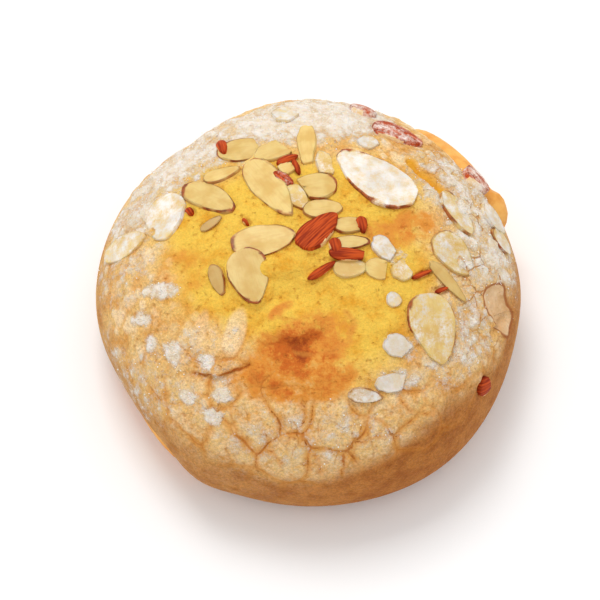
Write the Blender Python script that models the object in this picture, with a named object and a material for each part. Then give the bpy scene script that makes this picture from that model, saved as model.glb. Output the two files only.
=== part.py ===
"""A round sweet bun under a crackled almond sponge topping, with flaked almonds baked into it.

Two closed solids in metres, +Z up, standing on the flat underside of the bread: the bread, and the
topping that covers it like a cap. The origin is the middle of the flat underside.

Every surface is star shaped about a core point on the bun's axis. A place on the bun is given by its
bearing, in degrees anticlockwise from +X, and its lift, in degrees above the level of the core.
"""

import math
import random
from typing import NamedTuple

import bmesh
import bpy
import numpy as np
from mathutils import Matrix, Vector

MM = 0.001

# Driving dimensions of the whole bun.
ACROSS = 104.8 * MM
TALL = 48.5 * MM
CORE_HEIGHT = 15 * MM
ROUNDNESS = 2.3  # exponent of the profile: 2 is an ellipse, more has a flatter top and steeper sides
UNDER_REACH = 30 * MM  # how far the profile would run down below the core before it closes

# Topping layer.
TOPPING_AT_SIDE = 3.6 * MM
TOPPING_AT_TOP = 6.5 * MM
UNEVEN = 0.55 * MM  # how far the baked form wanders from the even one
GAP = 0.3 * MM  # between the topping and the bread
LIP_LIFT = -14.5  # the topping's lower edge, all round
LIP_THINS = 0.6 * MM  # how much the layer thins towards its edge
LIP_TURN_IN = 3.5  # degrees over which the edge rolls in to the bread

# Mesh fineness.
FINE_SPHERE = 7
BREAD_SPHERE = 5
TOPPING_SHARE = 0.08  # share of the fine faces that the topping keeps
BREAD_SHARE = 0.28
FLAKE_SIDES = 12


class Lobe(NamedTuple):
    """A swell of the outline round one bearing: half its width in degrees, and a share of the radius."""

    bearing: float
    spread: float
    share: float


class Spot(NamedTuple):
    """A round or oval swell or hollow. Its long side lies at turn degrees from +X, seen from outside."""

    bearing: float
    lift: float
    turn: float
    long: float
    wide: float
    rise: float


class Split(NamedTuple):
    """A groove through places on the crust, or a ridge where its depth is below 0."""

    places: tuple
    wide: float
    deep: float


class Plate(NamedTuple):
    """A plate of the crackled crust, and how much further than the rest it reaches, in millimetres."""

    bearing: float
    lift: float
    extra: float


class Flake(NamedTuple):
    """A slice of almond: its place, how its long side turns from +X, and its size in millimetres.

    Roll lifts one long side, and pitch lifts one end, in degrees. Cut is the share of the slice's
    length that is broken off, and lie is how far the slice's face stands above the crust.
    """

    bearing: float
    lift: float
    turn: float
    long: float
    wide: float
    roll: float = 0
    pitch: float = 0
    cut: float = 0
    lie: float = 0.8


OUTLINE_LOBES = (
    Lobe(2, 12, 0.018),
    Lobe(92, 18, 0.004),
    Lobe(126, 19, -0.055),
    Lobe(209, 20, -0.046),
    Lobe(240, 9, 0.026),
    Lobe(308, 24, 0.022),
)

# Where the topping's edge runs higher and leaves the bread bare, in degrees of lift.
LIP_RISES = (Lobe(41, 27, 35), Lobe(214, 27, 9.5))

# Where the bread swells out past the topping, in metres.
BREAD_SWELLS = (
    Lobe(41, 26, 4.9 * MM),
    Lobe(214, 27, 4.1 * MM),
)
BREAD_SPOTS = (Spot(24, 9, 70, 9 * MM, 6 * MM, 2.2 * MM),)

SPOTS = (
    Spot(-96, 55, 0, 19 * MM, 15 * MM, -1.7 * MM),  # hollow in the sponge
    Spot(-99, 56, 0, 9.5 * MM, 6.5 * MM, 2.4 * MM),  # browned blister in the hollow
    Spot(-112, 49, -30, 3.4 * MM, 2.6 * MM, 0.9 * MM),  # small lobe beside the blister
    Spot(-128, 75, 10, 8 * MM, 4 * MM, 0.9 * MM),  # ridge above the hollow
    Spot(-157, 53, 70, 4 * MM, 3 * MM, -1.0 * MM),  # pit beside the left slices
    Spot(120, 28, 0, 12 * MM, 9 * MM, 0.8 * MM),  # swollen rim at the back
    Spot(-11, 18, -32, 9 * MM, 6.2 * MM, -1.8 * MM),  # bare window in the right shoulder
    Spot(-38, 22, 80, 9 * MM, 9 * MM, 1.0 * MM),  # lobe below the window
    Spot(-51, 22, 0, 5 * MM, 5 * MM, 0.8 * MM),  # lump in the crust beside that lobe
)

SPLITS = (
    Split(((-135, 28), (-122, 33), (-113, 40)), 1.5 * MM, 1.4 * MM),
    Split(((44, 38), (35, 37.5), (25, 35)), 2.2 * MM, 2.2 * MM),
    Split(((46, 33), (36, 33), (26, 30)), 2.6 * MM, -1.1 * MM),
    Split(((-21, 20), (-17, 17), (-12, 13)), 1.2 * MM, 1.3 * MM),
)

# Crackled belt round the dome: how far below the yellow middle it starts, and its plates.
YOLK_EDGE = 40
YOLK_LOBES = (Lobe(165, 40, -7), Lobe(80, 35, 10), Lobe(-93, 25, 3))
YOLK_RAGGED = 5
CRUST_FADES = (8, 15)  # lifts between which the crackle fades out on the side
PLATE_SPACING = 8 * MM
PLATE_SEED = 20
CRACK_WANDER = 1.2 * MM
CRACK_WIDE = 1.3 * MM
CRACK_DEEP = 0.6 * MM
PLATE_SWELL = 0.3 * MM
PLATES = (
    Plate(-107, 27, 3.5),
    Plate(-82, 27, 5.5),
    Plate(-94, 20, 2.0),
    Plate(-71, 18, 3.5),
    Plate(-96, 31, 1.0),
    Plate(-58, 17, 2.0),
    Plate(-61, 25, 1.5),
    Plate(-114, 18, 2.0),
    Plate(-84, 15, 1.0),
    Plate(-125, 20, 1.0),
    Plate(-134, 42, 4.5),
    Plate(-118, 35, 1.0),
    Plate(-45, 20, 2.0),
    Plate(-38, 27, 2.0),
)

FLAKE_SUNK = 1.7 * MM
FLAKE_TAPER = 0.22  # how much narrower than its middle a slice is at its pointed end
FLAKES = {
    "brown_end": Flake(119, 42, 2, 14, 7, roll=12, pitch=10, cut=0.25, lie=0.6),
    "brown_end_skin": Flake(126, 37, -75, 5.5, 2.6, lie=1.6),
    "pale_shard": Flake(106, 48, 23, 11, 6, cut=0.3),
    "upright_slab": Flake(90, 48, -89, 15, 4.6, roll=16, cut=0.12),
    "skin_bar_back": Flake(102, 53, 25, 5.5, 2, roll=20, lie=1.2),
    "skin_side_back": Flake(97, 57, -75, 5, 1.4, roll=20, lie=1.0),
    "cream_chip_back": Flake(103, 57, 20, 4.6, 3.6, cut=0.2, lie=0.9),
    "skin_crumb_back": Flake(109, 61, -42, 6.5, 2.8, roll=-18, lie=1.0),
    "long_slice": Flake(122, 62, -58, 20, 8, roll=8),
    "tucked_slice": Flake(102, 71, -55, 8, 5, lie=0.5),
    "rounded_half": Flake(83, 66, 183, 10.5, 8.2, roll=6, cut=0.2),
    "flat_slice": Flake(65, 75, 8, 10, 5, lie=0.5),
    "sugared_slice": Flake(47, 52, 144, 22.8, 12.6, roll=5, lie=1.1),
    "skin_cap": Flake(30, 85, 45, 12, 7, roll=-8, lie=1.8),
    "skin_tip": Flake(18, 72, 6, 8.5, 4.5, roll=-8, cut=0.1, lie=1.2),
    "skin_tip_end": Flake(15, 68, -80, 4.2, 2.6, lie=1.8),
    "skin_block": Flake(-7, 73, 5, 9.5, 3.4, roll=6, lie=1.5),
    "skin_block_end": Flake(-22, 78, -80, 4.6, 2.8, lie=2.0),
    "skin_bar": Flake(-23, 72, -3, 9.5, 3.2, roll=14, cut=0.15, lie=2.0),
    "skin_strip": Flake(-67, 75, 36, 7.5, 2, roll=24),
    "under_bar": Flake(-37, 69, 1, 8.5, 4.5, lie=0.6),
    "right_shard": Flake(-24, 60, -15, 7.5, 5, roll=8, cut=0.3),
    "right_shard_sugared": Flake(-8, 60, -46, 9, 4.6, roll=-6, cut=0.25, lie=0.5),
    "right_chip": Flake(-17, 53, 50, 6.5, 5, cut=0.3, lie=0.5),
    "left_tall": Flake(-146, 63, -73, 14, 9.5, roll=-12, pitch=3, lie=0.85),
    "left_broad": Flake(-178, 73, 9, 15, 8, roll=9, lie=0.45),
    "red_edge": Flake(151, 48, -40, 16, 7.5, roll=-14, lie=0.6),
    "red_edge_small": Flake(136, 45, 14, 9.5, 4.5, roll=-9, lie=0.3),
    "sugared_left": Flake(164, 36, -84, 13, 11.5, roll=8, lie=0.5),
    "sugared_far_left": Flake(173, 23, -7, 15, 6.5, roll=10, lie=0.5),
    "grey_left": Flake(-156, 53, -69, 8, 3.6, roll=16, lie=0.1),
    "grey_sliver": Flake(167, 53, 28, 6, 2.2, roll=14, lie=0.4),
    "skin_fleck_left": Flake(161, 44, -60, 2.4, 1.8, lie=0.7),
    "skin_fleck_middle": Flake(162, 65, -50, 2.2, 1.0, lie=0.5),
    "skin_rim_back": Flake(57, 30, -20, 13, 6.5, roll=6),
    "skin_rim_right": Flake(30, 21, -11, 8.5, 7.5, roll=-4, lie=2.0),
    "right_sunk": Flake(17, 34, -53, 13, 7, roll=-12, lie=0.15),
    "right_wide": Flake(-1.5, 38, -34, 13, 9, pitch=8, lie=0.2),
    "yellow_stick": Flake(-14, 39, -42, 12.5, 3, roll=18),
    "right_large": Flake(-34, 37, -76, 17, 11.5, roll=8, lie=0.5),
    "skin_strip_right": Flake(-16, 47, 28, 5.5, 1.3, roll=10, lie=0.7),
    "skin_bit_right": Flake(-19, 40, 25, 3.6, 1.2, lie=0.7),
    "pale_low": Flake(-50, 40, -27, 8.5, 5, cut=0.25, lie=0.3),
    "pale_lower": Flake(-59, 33, 7, 8.5, 4.5, cut=0.2, lie=0.3),
    "grey_low": Flake(-70, 33, -7, 8, 3.6, roll=10),
    "skin_chip_side": Flake(-33, 12, -2, 6, 4.5, cut=0.3, lie=0.5),
    "pale_disc": Flake(-36, 51, 4, 3.8, 3.6, lie=0.3),
    "slab_back": Flake(62, 40, -29, 7, 4.5, cut=0.3, lie=0.3),
    "slab_beside": Flake(78, 56, -82, 10, 4.5, roll=-10, cut=0.3, lie=0.5),
    "skin_rim_low": Flake(9, 20, -29, 8, 4.5, roll=12),
    "sugared_rim": Flake(16, 21, -16, 9, 6.5, lie=1.0),
    "far_skin": Flake(72, 23, -42, 8, 5),
    "far_slab": Flake(97, 31, 54, 9, 6, roll=8, cut=0.3, lie=0.5),
}

COLOURS = {
    "bread": ((0.72, 0.40, 0.13), 0.55),
    "topping": ((0.80, 0.52, 0.20), 0.75),
}


def clear_scene():
    for old in list(bpy.data.objects):
        bpy.data.objects.remove(old)


def direction(bearing, lift):
    """The unit vector that points from the core at a bearing and a lift, both in degrees."""
    turn, rise = math.radians(bearing), math.radians(lift)
    return np.array([math.cos(rise) * math.cos(turn), math.cos(rise) * math.sin(turn), math.sin(rise)])


def bearing_and_lift(ways):
    """Bearing and lift, in degrees, of unit vectors in rows."""
    bearing = np.degrees(np.arctan2(ways[:, 1], ways[:, 0]))
    return bearing, np.degrees(np.arcsin(np.clip(ways[:, 2], -1, 1)))


def smooth_step(low, high, value):
    """0 below low, 1 above high, and an even S between them."""
    share = np.clip((value - low) / (high - low), 0, 1)
    return share * share * (3 - 2 * share)


def sum_of_lobes(lobes, bearing, power=2):
    """What the lobes add at each bearing. A higher power gives them a broad top and short flanks."""
    total = np.zeros(len(bearing))
    for lobe in lobes:
        apart = (bearing - lobe.bearing + 180) % 360 - 180
        total += lobe.share * np.exp(-(np.abs(apart / lobe.spread) ** power))
    return total


def waves(ways, count, pitch, seed):
    """An even, irregular undulation between about -1 and 1, from plane waves in seeded directions."""
    draw = random.Random(seed)
    total = np.zeros(len(ways))
    for _ in range(count):
        axis = np.array([draw.gauss(0, 1) for _ in range(3)])
        axis *= pitch / np.linalg.norm(axis)
        total += np.sin(ways @ axis + draw.uniform(0, math.tau))
    return total * math.sqrt(2 / count) / 1.6


def dome_reach(ways):
    """Distance from the core to the topping's smooth outer form, in each direction."""
    bearing, _ = bearing_and_lift(ways)
    flat = np.hypot(ways[:, 0], ways[:, 1]) / (ACROSS / 2 * (1 + sum_of_lobes(OUTLINE_LOBES, bearing)))
    upright = np.abs(ways[:, 2]) / np.where(ways[:, 2] > 0, TALL - CORE_HEIGHT, UNDER_REACH)
    even = (flat**ROUNDNESS + upright**ROUNDNESS) ** (-1 / ROUNDNESS)
    return even + UNEVEN * waves(ways, 9, 6.0, seed=4)


def lip_lift(bearing):
    """Lift of the topping's lower edge at each bearing, in degrees."""
    ragged = 1.2 * np.sin(np.radians(5 * bearing + 40)) + 0.8 * np.sin(np.radians(13 * bearing))
    return LIP_LIFT + ragged + sum_of_lobes(LIP_RISES, bearing, power=4)


def bread_reach(ways):
    """Distance from the core to the bread's surface, in each direction, before its base is cut flat."""
    bearing, lift = bearing_and_lift(ways)
    layer = TOPPING_AT_SIDE + (TOPPING_AT_TOP - TOPPING_AT_SIDE) * np.clip(ways[:, 2], 0, 1) ** 2
    below_lip = 1 - smooth_step(-6, 2, lift - lip_lift(bearing))
    smooth = dome_reach(ways)
    points = ways * smooth[:, None] + np.array([0, 0, CORE_HEIGHT])
    swell = sum_of_lobes(BREAD_SWELLS, bearing, power=4) + spot_relief(BREAD_SPOTS, points)
    return smooth - layer + swell * below_lip


def on_dome(bearing, lift):
    """A point of the topping's smooth form."""
    way = direction(bearing, lift)
    return Vector(way * dome_reach(way[None])[0]) + Vector((0, 0, CORE_HEIGHT))


def outward(bearing, lift):
    """The direction that faces straight out of the topping's smooth form there."""
    step = 1.5
    along = on_dome(bearing, min(lift + step, 89.9)) - on_dome(bearing, lift - step)
    across = on_dome(bearing + step, lift) - on_dome(bearing - step, lift)
    return across.cross(along).normalized()


def local_frame(bearing, lift, turn):
    """A matrix at a place on the dome: X at turn degrees from the +X of the bun, and Z facing out."""
    normal = outward(bearing, lift)
    level = Vector((1, 0, 0))
    level = (level - level.dot(normal) * normal).normalized()
    side = normal.cross(level)
    frame = Matrix((level, side, normal)).transposed().to_4x4()
    return Matrix.Translation(on_dome(bearing, lift)) @ frame @ Matrix.Rotation(math.radians(turn), 4, "Z")


def in_frame(frame, points):
    """Points in rows, as coordinates of a local frame."""
    turned = np.array(frame.inverted())
    return points @ turned[:3, :3].T + turned[:3, 3]


def spot_relief(spots, points):
    """Height that the swells and hollows add at each point."""
    height = np.zeros(len(points))
    for spot in spots:
        local = in_frame(local_frame(spot.bearing, spot.lift, spot.turn), points)
        apart = np.hypot(local[:, 0] / spot.long, local[:, 1] / spot.wide)
        height += spot.rise * (1 - smooth_step(0.35, 1.0, apart)) * (np.abs(local[:, 2]) < spot.long)
    return height


def distance_to_path(points, places):
    """How far each point is from a line through places on the crust, and how far along it, as a share."""
    corners = [np.array(on_dome(*place)) for place in places]
    nearest = np.full(len(points), 1.0)
    along = np.zeros(len(points))
    for i, (start, end) in enumerate(zip(corners, corners[1:])):
        run = end - start
        share = np.clip((points - start) @ run / (run @ run), 0, 1)
        apart = np.linalg.norm(points - start - share[:, None] * run, axis=1)
        along = np.where(apart < nearest, (i + share) / (len(corners) - 1), along)
        nearest = np.minimum(nearest, apart)
    return nearest, along


def split_relief(points):
    """Height that the splits take away at each point, most at their middles."""
    height = np.zeros(len(points))
    for split in SPLITS:
        apart, along = distance_to_path(points, split.places)
        middle = 4 * along * (1 - along)
        height -= split.deep * (0.35 + 0.65 * middle) * (1 - smooth_step(0, split.wide, apart))
    return height


def plate_middles():
    """Middles of the crust's plates and their extra reach: those named, and an even spiral round them."""
    draw = random.Random(PLATE_SEED)
    middles = [np.array(on_dome(plate.bearing, plate.lift)) for plate in PLATES]
    extra = [plate.extra * MM for plate in PLATES]
    named = np.array(middles)
    taken = PLATE_SPACING + np.array(extra) / 2
    count = round(math.tau * (ACROSS / 2) ** 2 / PLATE_SPACING**2)
    golden = math.pi * (3 - math.sqrt(5))
    for i in range(count):
        rise = math.degrees(math.asin(1 - 1.2 * (i + 0.5) / count)) + draw.uniform(-4, 4)
        middle = np.array(on_dome(math.degrees(golden * i) + draw.uniform(-5, 5), rise))
        reach = draw.uniform(0, 2) * MM
        if (np.linalg.norm(named - middle, axis=1) > taken).all():
            middles.append(middle)
            extra.append(reach)
    return np.array(middles), np.array(extra)


def distance_to_crack(ways, points):
    """How far each point is from the nearest line between two plates."""
    middles, extra = plate_middles()
    wobble = np.stack([waves(ways, 8, 30.0, seed=k) for k in (31, 32, 33)], axis=1) * CRACK_WANDER
    apart = np.empty(len(points))
    for low in range(0, len(points), 20000):
        part = (points + wobble)[low : low + 20000]
        power = ((part[:, None] - middles[None]) ** 2).sum(2) - extra**2
        order = np.argpartition(power, 1, axis=1)[:, :2]
        pair = np.take_along_axis(power, order, axis=1)
        span = np.linalg.norm(middles[order[:, 0]] - middles[order[:, 1]], axis=1)
        apart[low : low + 20000] = np.abs(pair[:, 1] - pair[:, 0]) / (2 * span)
    return apart


def crackle(ways, points):
    """Height of the plates and of the cracks between them, within the crackled belt."""
    bearing, _ = bearing_and_lift(ways)
    to_edge = distance_to_crack(ways, points)
    crack = 1 - smooth_step(0, CRACK_WIDE, to_edge)
    swell = smooth_step(0, PLATE_SPACING * 0.35, to_edge)
    return (PLATE_SWELL * swell - CRACK_DEEP * crack) * belt(ways) * frontness(bearing)


def belt(ways):
    """How strongly the crust is crusted over: full round the shoulder, fading to the middle and the side."""
    bearing, lift = bearing_and_lift(ways)
    upper = 1 - smooth_step(-6, 6, lift + YOLK_RAGGED * waves(ways, 6, 9.0, seed=7) - yolk_edge(bearing) + 4)
    lower = smooth_step(*CRUST_FADES, lift + 2.5 * waves(ways, 6, 12.0, seed=8))
    return upper * lower


def frontness(bearing):
    """1 at the front of the bun, where the crust broke into plates, fading to the sides."""
    return np.exp(-(((bearing + 90 + 180) % 360 - 180) / 50) ** 2)


def yolk_edge(bearing):
    """Lift at which the crackled belt gives way to the smooth yellow middle."""
    return YOLK_EDGE + sum_of_lobes(YOLK_LOBES, bearing)


def topping_reach(ways):
    """Distance from the core to the topping's outer skin and, below its lip, to a point in the bread."""
    bearing, lift = bearing_and_lift(ways)
    smooth = dome_reach(ways)
    points = ways * smooth[:, None] + np.array([0, 0, CORE_HEIGHT])
    height = spot_relief(SPOTS, points) + split_relief(points) + crackle(ways, points)
    above = lift - lip_lift(bearing)
    thin_edge = LIP_THINS * (1 - smooth_step(0, 4, above))
    skin = smooth + height * smooth_step(1, 6, above) - thin_edge
    inside = 0.7 * bread_reach(ways)
    return inside + (skin - inside) * smooth_step(-LIP_TURN_IN, 0, above)


def star_solid(name, fineness, reach):
    """A closed mesh object: a fine sphere, each of whose points is pulled out to reach(direction)."""
    mesh = bpy.data.meshes.new(name)
    ball = bmesh.new()
    bmesh.ops.create_icosphere(ball, subdivisions=fineness, radius=1)
    ball.to_mesh(mesh)
    ball.free()
    ways = np.empty(len(mesh.vertices) * 3)
    mesh.vertices.foreach_get("co", ways)
    ways = ways.reshape(-1, 3)
    ways /= np.linalg.norm(ways, axis=1)[:, None]
    points = ways * reach(ways)[:, None] + np.array([0, 0, CORE_HEIGHT])
    mesh.vertices.foreach_set("co", points.ravel())
    mesh.update()
    solid = bpy.data.objects.new(name, mesh)
    bpy.context.scene.collection.objects.link(solid)
    return solid


def apply_modifiers(solid):
    """Makes the mesh what the object's modifiers show, and removes them."""
    bpy.context.view_layer.update()
    graph = bpy.context.evaluated_depsgraph_get()
    shown = bpy.data.meshes.new_from_object(solid.evaluated_get(graph))
    solid.modifiers.clear()
    old = solid.data
    solid.data = shown
    bpy.data.meshes.remove(old)
    shown.name = solid.name


def thin_out(solid, share):
    """Keeps a share of the faces, where the surface needs them."""
    fewer = solid.modifiers.new("fewer_faces", "DECIMATE")
    fewer.ratio = share
    apply_modifiers(solid)


def hollow_for(solid, filler):
    """Cuts the filler's space out of the solid."""
    cut = solid.modifiers.new("hollow", "BOOLEAN")
    cut.operation = "DIFFERENCE"
    cut.object = filler
    cut.solver = "MANIFOLD"
    apply_modifiers(solid)
    bpy.data.objects.remove(filler)


def keep_largest_shell(solid):
    """Drops loose scraps and fills any hollow that the flakes have sealed."""
    work = bmesh.new()
    work.from_mesh(solid.data)
    unseen = set(work.faces)
    shells = []
    while unseen:
        shell = {unseen.pop()}
        edge_of_shell = list(shell)
        while edge_of_shell:
            face = edge_of_shell.pop()
            beside = {other for edge in face.edges for other in edge.link_faces} & unseen
            unseen -= beside
            shell |= beside
            edge_of_shell.extend(beside)
        shells.append(shell)
    shells.sort(key=len)
    for shell in shells[:-1]:
        bmesh.ops.delete(work, geom=list(shell), context="FACES")
    work.to_mesh(solid.data)
    work.free()


def slice_outline(flake):
    """The outline of an almond slice, pointed at one end, with the broken share of it cut straight off."""
    long, wide = flake.long * MM / 2, flake.wide * MM / 2
    broken_at = long * (1 - 2 * flake.cut)
    outline = []
    for i in range(FLAKE_SIDES):
        turn = math.tau * (i + 0.5) / FLAKE_SIDES
        along = math.cos(turn)
        across = math.sin(turn) * (1 - FLAKE_TAPER * along)
        outline.append(Vector((min(long * along, broken_at), wide * across, 0)))
    return outline


def flake_solid(name, flake, group):
    """A slice with its upper face at its lie, that reaches down into the crust."""
    slab = bmesh.new()
    base = slab.faces.new([slab.verts.new(corner) for corner in slice_outline(flake)])
    grown = bmesh.ops.extrude_face_region(slab, geom=[base])
    top = [item for item in grown["geom"] if isinstance(item, bmesh.types.BMVert)]
    bmesh.ops.translate(slab, verts=top, vec=Vector((0, 0, FLAKE_SUNK + flake.lie * MM)))
    bmesh.ops.translate(slab, verts=slab.verts, vec=Vector((0, 0, -FLAKE_SUNK)))
    bmesh.ops.recalc_face_normals(slab, faces=slab.faces)
    mesh = bpy.data.meshes.new(name)
    slab.to_mesh(mesh)
    slab.free()
    tilt = Matrix.Rotation(math.radians(flake.roll), 4, "X") @ Matrix.Rotation(
        math.radians(flake.pitch), 4, "Y"
    )
    mesh.transform(local_frame(flake.bearing, flake.lift, flake.turn) @ tilt)
    piece = bpy.data.objects.new(name, mesh)
    group.objects.link(piece)
    return piece


def fuse_flakes(topping):
    """Joins every almond flake to the topping in one union."""
    group = bpy.data.collections.new("flakes")
    bpy.context.scene.collection.children.link(group)
    for name, flake in FLAKES.items():
        flake_solid(name, flake, group)
    join = topping.modifiers.new("flakes", "BOOLEAN")
    join.operation = "UNION"
    join.operand_type = "COLLECTION"
    join.collection = group
    join.solver = "MANIFOLD"
    apply_modifiers(topping)
    for piece in list(group.objects):
        bpy.data.objects.remove(piece)
    bpy.data.collections.remove(group)


def give_material(solid):
    colour, roughness = COLOURS[solid.name]
    material = bpy.data.materials.new(solid.name)
    material.use_nodes = True
    shader = material.node_tree.nodes["Principled BSDF"]
    shader.inputs["Base Color"].default_value = (*colour, 1)
    shader.inputs["Roughness"].default_value = roughness
    shader.inputs["Metallic"].default_value = 0
    solid.data.materials.clear()
    solid.data.materials.append(material)


def grown_copy(solid, name, margin):
    """A copy whose points are moved straight away from the core by a margin."""
    mesh = solid.data.copy()
    core = Vector((0, 0, CORE_HEIGHT))
    for vertex in mesh.vertices:
        vertex.co += (vertex.co - core).normalized() * margin
    copy = bpy.data.objects.new(name, mesh)
    bpy.context.scene.collection.objects.link(copy)
    return copy


def cut_base_flat(solid):
    """Cuts off all that lies below the level the bun stands on, and closes it with one flat face."""
    work = bmesh.new()
    work.from_mesh(solid.data)
    bmesh.ops.bisect_plane(
        work,
        geom=work.verts[:] + work.edges[:] + work.faces[:],
        dist=0.001 * MM,
        plane_co=(0, 0, 0),
        plane_no=(0, 0, -1),
        clear_outer=True,
    )
    bmesh.ops.contextual_create(work, geom=[edge for edge in work.edges if edge.is_boundary])
    bmesh.ops.recalc_face_normals(work, faces=work.faces)
    work.to_mesh(solid.data)
    work.free()


def build_bread():
    bread = star_solid("bread", BREAD_SPHERE, bread_reach)
    thin_out(bread, BREAD_SHARE)
    return bread


def build_topping(bread):
    topping = star_solid("topping", FINE_SPHERE, topping_reach)
    thin_out(topping, TOPPING_SHARE)
    fuse_flakes(topping)
    hollow_for(topping, grown_copy(bread, "bread_with_gap", GAP))
    keep_largest_shell(topping)
    return topping


def main():
    clear_scene()
    bread = build_bread()
    topping = build_topping(bread)
    cut_base_flat(bread)
    for solid in (bread, topping):
        give_material(solid)
        solid.data.shade_smooth()
        solid.data.set_sharp_from_angle(angle=math.radians(40))
        bpy.context.view_layer.update()


main()
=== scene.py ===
"""Looks of the almond topped sweet bun.

The baked pieces repeat the form that the solids have, about the same core point, and add what an oven
gives it: crumb, cracks, toasting, sugar. Lengths are metres. A place on the bun is a bearing, in degrees
anticlockwise from +X, and a lift, in degrees above the level of the core.
"""

import itertools
import math
import random
from typing import NamedTuple

import bmesh
import bpy
import numpy as np
from mathutils import Matrix, Vector


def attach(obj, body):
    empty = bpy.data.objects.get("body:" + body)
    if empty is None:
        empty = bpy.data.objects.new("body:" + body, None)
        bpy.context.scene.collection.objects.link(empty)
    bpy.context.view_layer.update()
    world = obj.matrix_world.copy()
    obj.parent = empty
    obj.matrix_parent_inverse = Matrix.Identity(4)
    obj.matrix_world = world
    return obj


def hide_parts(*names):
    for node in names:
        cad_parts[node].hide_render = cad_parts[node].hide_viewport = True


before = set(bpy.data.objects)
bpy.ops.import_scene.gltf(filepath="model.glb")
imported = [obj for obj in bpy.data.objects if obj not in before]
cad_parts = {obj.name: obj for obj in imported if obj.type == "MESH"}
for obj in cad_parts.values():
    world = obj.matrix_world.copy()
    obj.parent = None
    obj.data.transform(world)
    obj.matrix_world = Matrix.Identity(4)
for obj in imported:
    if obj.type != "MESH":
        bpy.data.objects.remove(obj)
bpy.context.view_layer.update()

MM = 0.001

# Form of the bun, as in the solids.
ACROSS = 104.8 * MM
TALL = 48.5 * MM
CORE_HEIGHT = 15 * MM
ROUNDNESS = 2.3
UNDER_REACH = 30 * MM
TOPPING_AT_SIDE = 3.6 * MM
TOPPING_AT_TOP = 6.5 * MM
UNEVEN = 0.55 * MM
GAP = 0.3 * MM
LIP_LIFT = -14.5
LIP_THINS = 0.6 * MM
LIP_TURN_IN = 3.5
CORE = np.array([0, 0, CORE_HEIGHT])

# Mesh fineness.
TOPPING_SPHERE = 7
FINE_ABOVE = -2  # lift from which the topping's faces are split once more
BREAD_SPHERE = 6
SLICE_SIDES = 36
SUGAR_GRAINS = 2600
POINTS_AT_ONCE = 20000
SHARP_ABOVE = 38  # degrees between two faces of the bread that make an edge


class Lobe(NamedTuple):
    """A swell of the outline round one bearing: half its width in degrees, and a share of the radius."""

    bearing: float
    spread: float
    share: float


class Spot(NamedTuple):
    """A round or oval place: its long side lies at turn degrees from +X, seen from outside.

    Long and wide are in millimetres, from its middle out. Rise is in metres, or an amount of colour.
    """

    bearing: float
    lift: float
    turn: float
    long: float
    wide: float
    rise: float


class Split(NamedTuple):
    """A groove through places on the crust, or a ridge where its depth is below 0."""

    places: tuple
    wide: float
    deep: float


class Plate(NamedTuple):
    """A plate of the crackled crust, and how much further than the rest it reaches, in millimetres."""

    bearing: float
    lift: float
    extra: float


class Flake(NamedTuple):
    """A slice of almond: its place, how its long side turns from +X, and its size in millimetres.

    Roll lifts one long side, and pitch lifts one end, in degrees. Cut is the share of the slice's
    length that is broken off, and lie is how far the slice's face stands above the crust. Kind is slice
    or skin. Skin is how much of a slice's rim still has it, and the last two fields are amounts too: of
    sugar, and of darkening, which is toasting and, on grey_left, painted shadow as well.
    """

    bearing: float
    lift: float
    turn: float
    long: float
    wide: float
    roll: float = 0
    pitch: float = 0
    cut: float = 0
    lie: float = 0.8
    kind: str = "slice"
    skin: float = 0.7
    sugar: float = 0
    toast: float = 0.1

    @property
    def half(self):
        """Half the length and half the width, in metres."""
        return self.long * MM / 2, self.wide * MM / 2

    @property
    def thick(self):
        return SKIN_THICK if self.kind == "skin" else SLICE_THICK



OUTLINE_LOBES = (
    Lobe(2, 12, 0.018),
    Lobe(92, 18, 0.004),
    Lobe(126, 19, -0.055),
    Lobe(209, 20, -0.046),
    Lobe(240, 9, 0.026),
    Lobe(308, 24, 0.022),
)
LIP_RISES = (Lobe(41, 27, 35), Lobe(214, 27, 9.5))
BREAD_SWELLS = (Lobe(41, 26, 4.9 * MM), Lobe(214, 27, 4.1 * MM))
BREAD_SPOTS = (Spot(24, 9, 70, 9, 6, 2.2 * MM),)

SPOTS = (
    Spot(-96, 55, 0, 19, 15, -1.7 * MM),
    Spot(-99, 56, 0, 9.5, 6.5, 2.4 * MM),
    Spot(-112, 49, -30, 3.4, 2.6, 0.9 * MM),
    Spot(-128, 75, 10, 8, 4, 0.9 * MM),
    Spot(-157, 53, 70, 4, 3, -1.0 * MM),
    Spot(120, 28, 0, 12, 9, 0.8 * MM),
    Spot(-11, 18, -32, 9, 6.2, -1.8 * MM),
    Spot(-38, 22, 80, 9, 9, 1.0 * MM),
    Spot(-51, 22, 0, 5, 5, 0.8 * MM),
)
TEAR = Split(((44, 38), (35, 37.5), (25, 35)), 2.2 * MM, 2.2 * MM)
SPLITS = (
    Split(((-135, 28), (-122, 33), (-113, 40)), 1.5 * MM, 1.4 * MM),
    TEAR,
    Split(((46, 33), (36, 33), (26, 30)), 2.6 * MM, -1.1 * MM),
    Split(((-21, 20), (-17, 17), (-12, 13)), 1.2 * MM, 1.3 * MM),
)

YOLK_RAGGED = 5
CRUST_FADES = (8, 15)
PLATE_SPACING = 8 * MM
PLATE_SEED = 20
CRACK_WANDER = 1.2 * MM
PLATE_SWELL = 0.3 * MM
CRACK_WIDE = 0.8 * MM
CRACK_DEEP = 0.22 * MM
COBBLE_SIZES = (4.8 * MM, 2.6 * MM)
COBBLE_SWELL = 0.3 * MM
SHRINK = 0.07 * MM  # so that the crust's fine relief stays within the plain form

# Baked humps: size, height in millimetres, what the crackled belt adds to it, and the share that the
# side keeps of it.
HUMPS = ((7 * MM, 0.45, 0, 0), (3.1 * MM, 0.26, 0.2, 0), (1.3 * MM, 0.1, 0.12, 0.2))
HUMPS_SEED = 51

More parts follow.
